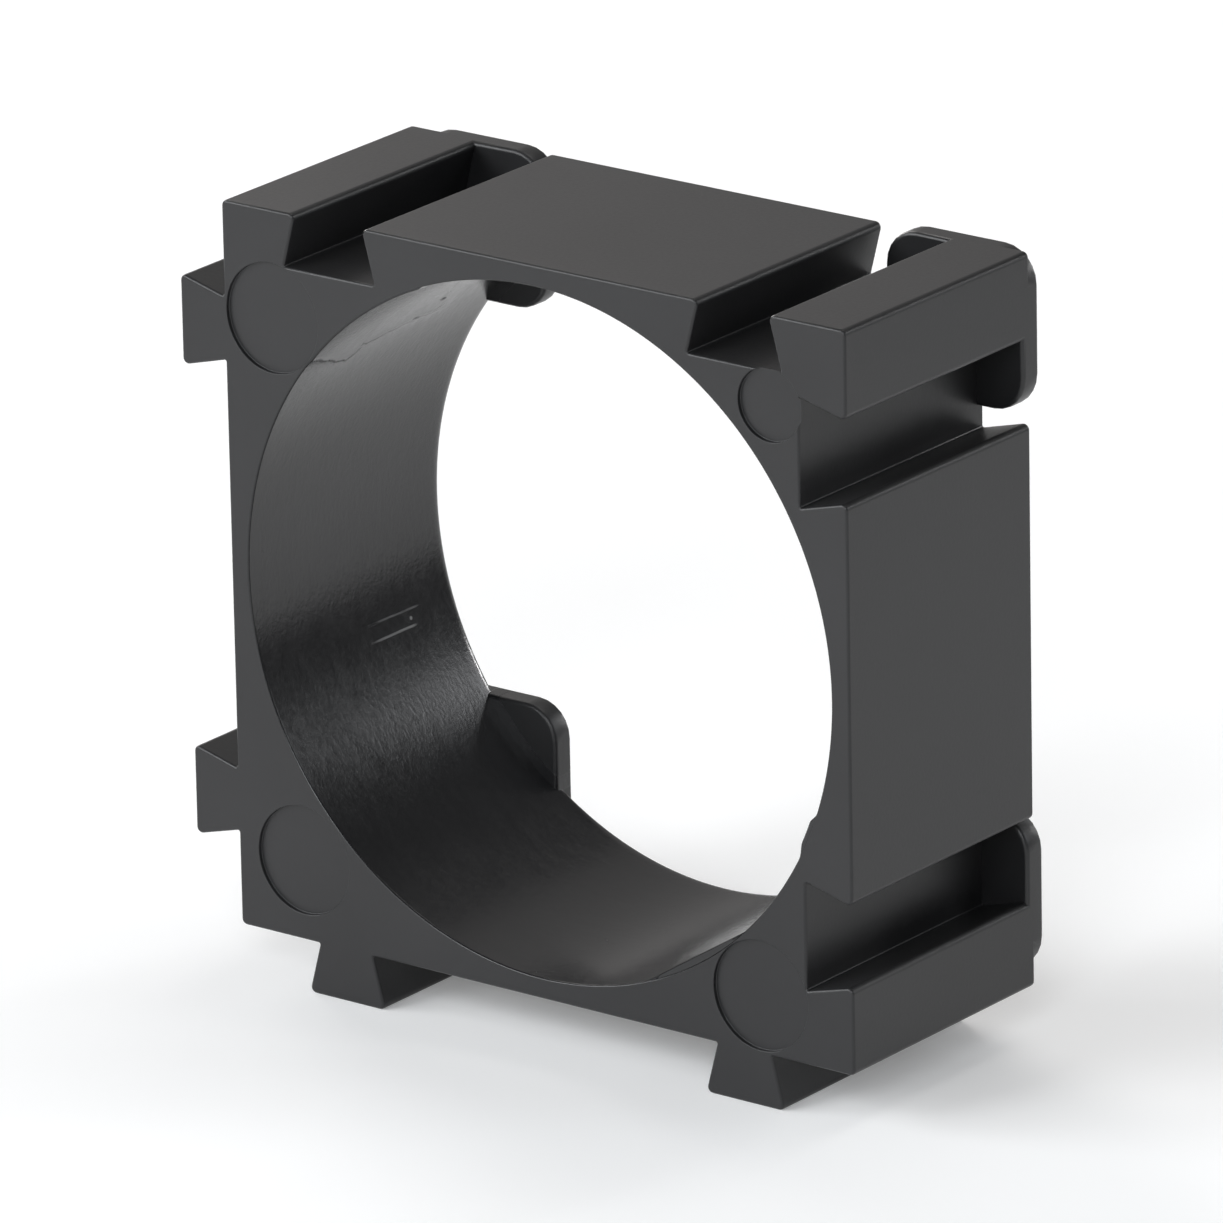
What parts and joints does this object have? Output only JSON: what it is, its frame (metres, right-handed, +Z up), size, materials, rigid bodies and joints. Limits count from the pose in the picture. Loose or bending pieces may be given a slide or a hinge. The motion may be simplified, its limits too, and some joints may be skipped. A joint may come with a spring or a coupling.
{
  "type": "battery cell holder bracket",
  "caption": "Square moulded plastic frame with a round hole for a cell end, dovetail tongues on two sides and matching grooves on the other two.",
  "frame": {"origin": "middle of the bounding box on the plane of the two lower tongues, on which the bracket stands", "axes": "+Z up, +Y from the front face to the rear plates along the hole, +X to the right seen from the front"},
  "size_m": [0.037, 0.0144, 0.0371],
  "materials": {
    "black_abs": "satin moulded black ABS, smoother and glossier inside the hole"
  },
  "bodies": {
    "root": {"bracket": "black_abs"}
  },
  "joints": []
}
